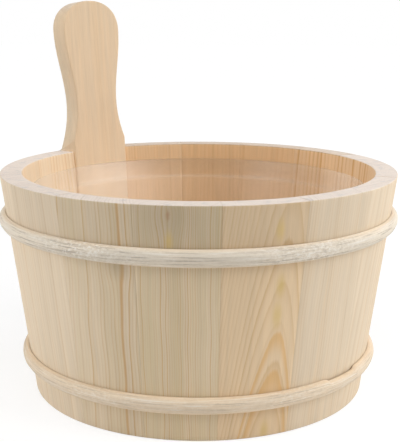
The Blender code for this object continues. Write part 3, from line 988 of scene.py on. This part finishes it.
class Graph:
    """A material's node tree, with one call for each kind of node."""

    def __init__(self, name):
        self.material = bpy.data.materials.new(name)
        self.material.use_nodes = True
        self.tree = self.material.node_tree
        self.shader = self.tree.nodes["Principled BSDF"]

    def put(self, socket, value):
        """Links a socket to an input, or sets the input's own value."""
        if isinstance(value, bpy.types.NodeSocket):
            self.tree.links.new(value, socket)
        else:
            socket.default_value = value

    def node(self, kind, values, **settings):
        """A new node with its settings, and with values or links for some inputs."""
        made = self.tree.nodes.new(kind)
        for name, setting in settings.items():
            setattr(made, name, setting)
        for key, value in values.items():
            self.put(made.inputs[key], value)
        return made

    def surface(self, name, value):
        """Sets or links an input of the material's shader."""
        self.put(self.shader.inputs[name], value)

    def math(self, operation, first, second=0.0, clamp=False):
        values = {0: first, 1: second}
        return self.node("ShaderNodeMath", values, operation=operation, use_clamp=clamp).outputs[0]

    def attribute(self, name, output="Fac"):
        return self.node("ShaderNodeAttribute", {}, attribute_name=name).outputs[output]

    def parts(self, vector):
        return self.node("ShaderNodeSeparateXYZ", {0: vector}).outputs

    def length(self, vector):
        return self.node("ShaderNodeVectorMath", {0: vector}, operation="LENGTH").outputs["Value"]

    def noise(self, vector, scale, detail=2.0, roughness=0.5):
        place = self.node("ShaderNodeVectorMath", {0: vector, 1: scale}, operation="MULTIPLY").outputs[0]
        values = {"Vector": place, "Scale": 1.0, "Detail": detail, "Roughness": roughness}
        return self.node("ShaderNodeTexNoise", values).outputs["Fac"]

    def wave(self, number, scale):
        values = {"W": number, "Scale": scale}
        return self.node("ShaderNodeTexNoise", values, noise_dimensions="1D").outputs["Fac"]

    def chance(self, number):
        return self.node("ShaderNodeTexWhiteNoise", {"W": number}, noise_dimensions="1D").outputs["Value"]

    def span(self, value, low, high, to_low=0.0, to_high=1.0):
        values = dict(enumerate((value, low, high, to_low, to_high)))
        return self.node("ShaderNodeMapRange", values, interpolation_type="SMOOTHSTEP").outputs[0]

    def ramp(self, value, stops):
        node = self.tree.nodes.new("ShaderNodeValToRGB")
        scale = node.color_ramp
        while len(scale.elements) < len(stops):
            scale.elements.new(1.0)
        for element, (place, level) in zip(scale.elements, stops):
            element.position = place
            element.color = (level, level, level, 1.0)
        self.put(node.inputs[0], value)
        return node.outputs[0]

    def mix(self, share, first, second):
        return self.node("ShaderNodeMix", {0: share, 6: first, 7: second}, data_type="RGBA").outputs[2]

    def stain(self, colour, tint, share, weight):
        """A colour mixed with a tint by the product of a share and its weight."""
        return self.mix(self.math("MULTIPLY", share, weight), colour, tint)

    def shade(self, colour, level):
        """A colour made lighter or darker by a number about 1."""
        return self.node("ShaderNodeVectorMath", {0: colour, "Scale": level}, operation="SCALE").outputs[0]

    def bump(self, height, strength, distance):
        values = {"Height": height, "Strength": strength, "Distance": distance}
        self.surface("Normal", self.node("ShaderNodeBump", values).outputs["Normal"])

    def total(self, *terms, base=0.0):
        """A base number and the sum of terms (socket, factor)."""
        made = base
        for socket, factor in terms:
            made = self.math("ADD", self.math("MULTIPLY", socket, factor), made)
        return made


def late_wood(g, ring, year, era):
    """The dark late part of each annual ring, stronger in some years and spells of years than in others."""
    stops = ((0.0, 0.05), (0.4, 0.10), (0.72, 0.55), (0.90, 1.0), (1.0, 0.05))
    band = g.ramp(g.math("FRACT", ring), stops)
    of_year = g.span(g.chance(year), 0.0, 1.0, 0.25, 1.0)
    of_era = g.span(era, 0.30, 0.70, 0.45, 1.25)
    return g.math("MULTIPLY", band, g.math("MULTIPLY", of_year, of_era))


def ring_colour(g, hue, late_share):
    """Wood from green over pale to pink, orange towards the inner face, with its late wood."""
    heart = g.attribute("heart")
    pale = g.mix(g.span(hue, 0.35, 0.85), GREEN_WOOD, EARLY_WOOD)
    pale = g.mix(g.span(hue, 0.95, 1.45), pale, PINK_WOOD)
    pale = g.mix(heart, pale, HEART_WOOD)
    return g.mix(late_share, pale, g.mix(heart, LATE_WOOD, HEART_LATE))


def with_lines(g, colour, fibre, sway):
    """The single brown line and the two orange lines that follow a ring."""
    brown, first, second = g.parts(g.attribute("lines", "Vector"))
    brown = g.math("ABSOLUTE", g.total((brown, 1.0), (fibre, 0.5), base=-0.25))
    colour = g.mix(g.span(brown, 0.05, 0.65, 0.68, 0.0), colour, BROWN_LINE)
    for line, inside in ((first, 0.55), (second, 0.9)):
        line = g.math("ADD", line, sway)
        outer = g.span(line, 0.0, 0.14, 0.6, 0.0)
        colour = g.stain(colour, ORANGE_LINE, g.span(line, -inside, -0.04), outer)
    return colour


def end_grain(g, grain, late, saw, light):
    """Sawn ends: paler, with rings, saw marks and grey patches."""
    patch = g.noise(grain, PATCH_SCALE)
    colour = g.mix(g.math("MULTIPLY", late, 0.70, True), END_WOOD, END_RING)
    colour = g.mix(g.span(patch, 0.52, 0.72, 0.0, 0.45), colour, GREY_END)
    return g.shade(colour, g.total((saw, 0.35), (light, 0.3), base=0.52))


def wood(name, roughness):
    """Softwood: annual rings, fibre, tone from green to pink, marks, end grain and seams."""
    g = Graph(name)
    grain = g.attribute("grain", "Vector")
    light, warmth, contrast = g.parts(g.attribute("tone", "Vector"))
    end = g.attribute("end")
    fibre = g.noise(grain, FIBRE_SCALE, 3.0, 0.6)
    streak = g.noise(grain, STREAK_SCALE, 3.0, 0.6)
    cloud = g.noise(grain, CLOUD_SCALE)
    saw = g.noise(grain, SAW_SCALE, 4.0, 0.7)
    sway = g.total((g.noise(grain, WANDER_SCALE), 0.9), (fibre, 0.18), base=-0.54)
    ring = g.math("ADD", g.attribute("ring"), sway)
    year = g.math("FLOOR", ring)
    era = g.wave(ring, ERA_SCALE)
    late = late_wood(g, ring, year, era)
    late_share = g.math("MULTIPLY", late, contrast, True)

    by_year = g.chance(g.math("ADD", year, 0.37))
    hue = g.total((warmth, 1.0), (by_year, 0.14), (cloud, 0.4), (era, 0.4))
    colour = with_lines(g, ring_colour(g, hue, late_share), fibre, sway)
    tone = g.total((streak, 0.22), (fibre, 0.16), (cloud, 0.10), (light, 1.0), base=-0.24)
    colour = g.shade(colour, tone)
    for mark, share, tint in WOOD_MARKS:
        colour = g.mix(g.span(g.attribute(mark), 0.0, 1.0, share, 0.0), colour, tint)
    colour = g.mix(end, colour, end_grain(g, grain, late, saw, light))
    seam = g.span(g.attribute("edge"), 0.02 * MM, 0.35 * MM, 0.12, 0.0)
    g.surface("Base Color", g.mix(seam, colour, SEAM_SHADE))

    rough = g.total((late_share, -0.12), (fibre, 0.22), (end, 0.15), base=roughness)
    g.surface("Roughness", rough)
    g.surface("Specular IOR Level", WOOD_SHINE)
    saw_marks = g.math("MULTIPLY", saw, end)
    g.bump(g.total((late_share, 0.25), (fibre, 0.6), (streak, 0.4), (saw_marks, 1.4)), 0.35, 0.25 * MM)
    return g.material


def hoop_finish(name):
    """Split pale strip: long fibre streaks, rough speckled stretches and darker pits in them."""
    g = Graph(name)
    strand = g.attribute("strand", "Vector")
    warm = g.attribute("warm")
    crown = g.attribute("crown")
    fibre = g.noise(strand, HOOP_FIBRE_SCALE, 4.0, 0.65)
    streak = g.noise(strand, HOOP_STREAK_SCALE, 3.0, 0.6)
    speckle = g.noise(strand, HOOP_SPECKLE_SCALE, 3.0, 0.7)
    cloud = g.noise(strand, HOOP_CLOUD_SCALE)
    face = g.span(crown, 0.30, 0.85, 0.25, 1.0)
    worn = g.math("MULTIPLY", face, g.total((warm, -0.6), base=1.0))
    rough_stretch = g.total((g.attribute("rough"), 0.75), (cloud, 0.3))

    cream = g.total((warm, 1.0), (cloud, 0.5), (face, -0.55), base=0.25)
    colour = g.mix(cream, HOOP_PALE, HOOP_WARM)
    colour = g.stain(colour, HOOP_STREAK, g.span(streak, 0.50, 0.72, 0.0, 0.40), worn)
    colour = g.stain(colour, HOOP_STREAK, g.span(fibre, 0.53, 0.65, 0.0, 0.75), worn)
    colour = g.mix(g.span(fibre, 0.34, 0.47, 0.45, 0.0), colour, HOOP_FUZZ)
    colour = g.stain(colour, HOOP_PIT, g.span(speckle, 0.52, 0.66, 0.0, 0.48), rough_stretch)
    colour = g.stain(colour, HOOP_FUZZ, g.span(speckle, 0.36, 0.49, 0.85, 0.0), rough_stretch)
    colour = g.shade(colour, g.total((cloud, 0.16), base=0.92))
    # Painted shade in the crease where the strip meets the wall
    crease = g.span(crown, 0.03, 0.22, 0.35, 0.0)
    g.surface("Base Color", g.mix(crease, colour, SEAM_SHADE))

    rough = g.total((fibre, 0.25), (rough_stretch, 0.1), base=0.52)
    g.surface("Roughness", rough)
    g.surface("Specular IOR Level", WOOD_SHINE)
    height = g.total((fibre, -0.8), (streak, -0.8), (g.math("MULTIPLY", speckle, rough_stretch), -1.6))
    g.bump(height, 0.8, 0.45 * MM)
    return g.material


def liner_finish(name):
    """Thin translucent plastic: nearly clear face on, less so edge on, milkier on its floor, with scuffs; a
    painted highlight in some sectors, painted shade in the collar and at its folds.
    """
    g = Graph(name)
    place = g.tree.nodes.new("ShaderNodeTexCoord").outputs["Object"]
    cloud = g.noise(place, LINER_CLOUD_SCALE)
    scuff = g.noise(place, LINER_SCUFF_SCALE, 3.0, 0.6)
    marks = g.span(scuff, 0.58, 0.75)
    edge_on = g.node("ShaderNodeLayerWeight", {"Blend": 0.25}).outputs["Facing"]
    line = g.attribute("line")
    milky_and_highlight = g.attribute("milky_and_highlight")
    collar = g.attribute("collar")

    # The haze is whiter where the highlight is painted and darker in the collar, a painted shade
    haze = g.total((milky_and_highlight, 0.8), (marks, 0.3), (collar, -0.7), base=0.7)
    colour = g.mix(haze, LINER_TINT, LINER_HAZE)
    g.surface("Base Color", g.mix(line, colour, LINER_LINE))
    g.surface("Roughness", g.total((cloud, 0.10), (marks, 0.12), base=0.26))
    filled = g.total((edge_on, 0.22), (cloud, 0.02), (line, 0.16), (milky_and_highlight, 0.18), (collar, 0.025), base=0.03)
    g.surface("Alpha", filled)
    g.bump(g.total((cloud, 0.7), (scuff, 0.15)), 0.25, 0.4 * MM)
    return g.material


# Stage, light and camera


def seen_rays(tree):
    """1 for what the camera sees, straight, mirrored or through clear plastic, and 0 for light."""
    rays = tree.nodes.new("ShaderNodeLightPath")
    seen = rays.outputs["Is Camera Ray"]
    for name in ("Is Glossy Ray", "Is Transmission Ray"):
        either = tree.nodes.new("ShaderNodeMath")
        either.operation = "MAXIMUM"
        tree.links.new(seen, either.inputs[0])
        tree.links.new(rays.outputs[name], either.inputs[1])
        seen = either.outputs[0]
    return seen


def floor_finish():
    """Pale studio floor: it takes the object's shadow, and is white to the camera where nothing shades it."""
    g = Graph("floor")
    place = g.tree.nodes.new("ShaderNodeTexCoord").outputs["Object"]
    seen = seen_rays(g.tree)
    speck = g.total((g.noise(place, FLOOR_SPECK_SCALE, 3.0), 0.04), base=0.98)
    away = g.span(g.length(place), FLOOR_NEAR, FLOOR_FAR)
    to_camera = g.mix(away, FLOOR_SEEN_NEAR, FLOOR_SEEN_FAR)
    g.surface("Base Color", g.shade(g.mix(seen, FLOOR_PALE, to_camera), speck))
    g.surface("Roughness", FLOOR_ROUGHNESS)
    g.surface("Specular IOR Level", 0.0)
    g.surface("Emission Color", WHITE)
    glow = g.total((away, 1.0 - FLOOR_GLOW), base=FLOOR_GLOW)
    g.surface("Emission Strength", g.math("MULTIPLY", seen, glow))
    return g.material


def build_floor():
    """A wide round floor under the bucket."""
    shape = bmesh.new()
    bmesh.ops.create_circle(shape, cap_ends=True, segments=FLOOR_STEPS, radius=FLOOR_RADIUS)
    mesh = finished_mesh(shape, "floor")
    mesh.materials.append(floor_finish())
    floor = new_object("floor", mesh)
    floor.location.z = -FLOOR_DROP


def build_world():
    """White all round for what the camera sees and for reflections, dimmer as a light."""
    world = bpy.data.worlds.new("studio")
    bpy.context.scene.world = world
    world.use_nodes = True
    tree = world.node_tree
    strength = tree.nodes.new("ShaderNodeMapRange")
    tree.links.new(seen_rays(tree), strength.inputs[0])
    strength.inputs[3].default_value = WORLD_LIGHT
    strength.inputs[4].default_value = 1.0
    background = tree.nodes["Background"]
    background.inputs["Color"].default_value = WHITE
    tree.links.new(strength.outputs[0], background.inputs["Strength"])


def build_lights():
    """Square soft boxes at both sides, overhead and behind."""
    for name, (place, side, watts) in LAMPS.items():
        lamp = bpy.data.lights.new(name, "AREA")
        lamp.shape = "SQUARE"
        lamp.size = side
        lamp.energy = watts
        made = new_object(name, lamp)
        made.location = place
        made.rotation_euler = (LAMP_TARGET - Vector(place)).to_track_quat("-Z", "Y").to_euler()


def build_camera():
    """The photograph's camera, aimed a hair to the right instead of shifted."""
    data = bpy.data.cameras.new("camera")
    data.sensor_width = SENSOR
    data.lens = FOCAL_PIXELS * SENSOR / IMAGE_HEIGHT
    data.clip_start = CLIP_START
    camera = new_object("camera", data)
    aim = Matrix.Rotation(-CAMERA_YAW, 4, "Z") @ Matrix.Rotation(math.pi / 2 - CAMERA_PITCH, 4, "X")
    camera.matrix_world = Matrix.Translation(CAMERA_PLACE) @ aim @ Matrix.Rotation(CAMERA_ROLL, 4, "Z")
    bpy.context.scene.camera = camera


def main():
    """Builds every piece, the stage, the lights and the camera."""
    build_camera()
    build_staves(wood("pine_wood", STAVE_ROUGHNESS))
    build_handle_stave(wood("handle_wood", HANDLE_ROUGHNESS))
    strip = hoop_finish("hoop_strip")
    for name, hoop in HOOPS.items():
        build_hoop(name, *hoop, strip)
    build_bottom(wood("board_wood", BOARD_ROUGHNESS))
    build_liner(liner_finish("liner_sheet"))
    build_floor()
    build_world()
    build_lights()
    bpy.context.scene.view_settings.view_transform = "Standard"


main()
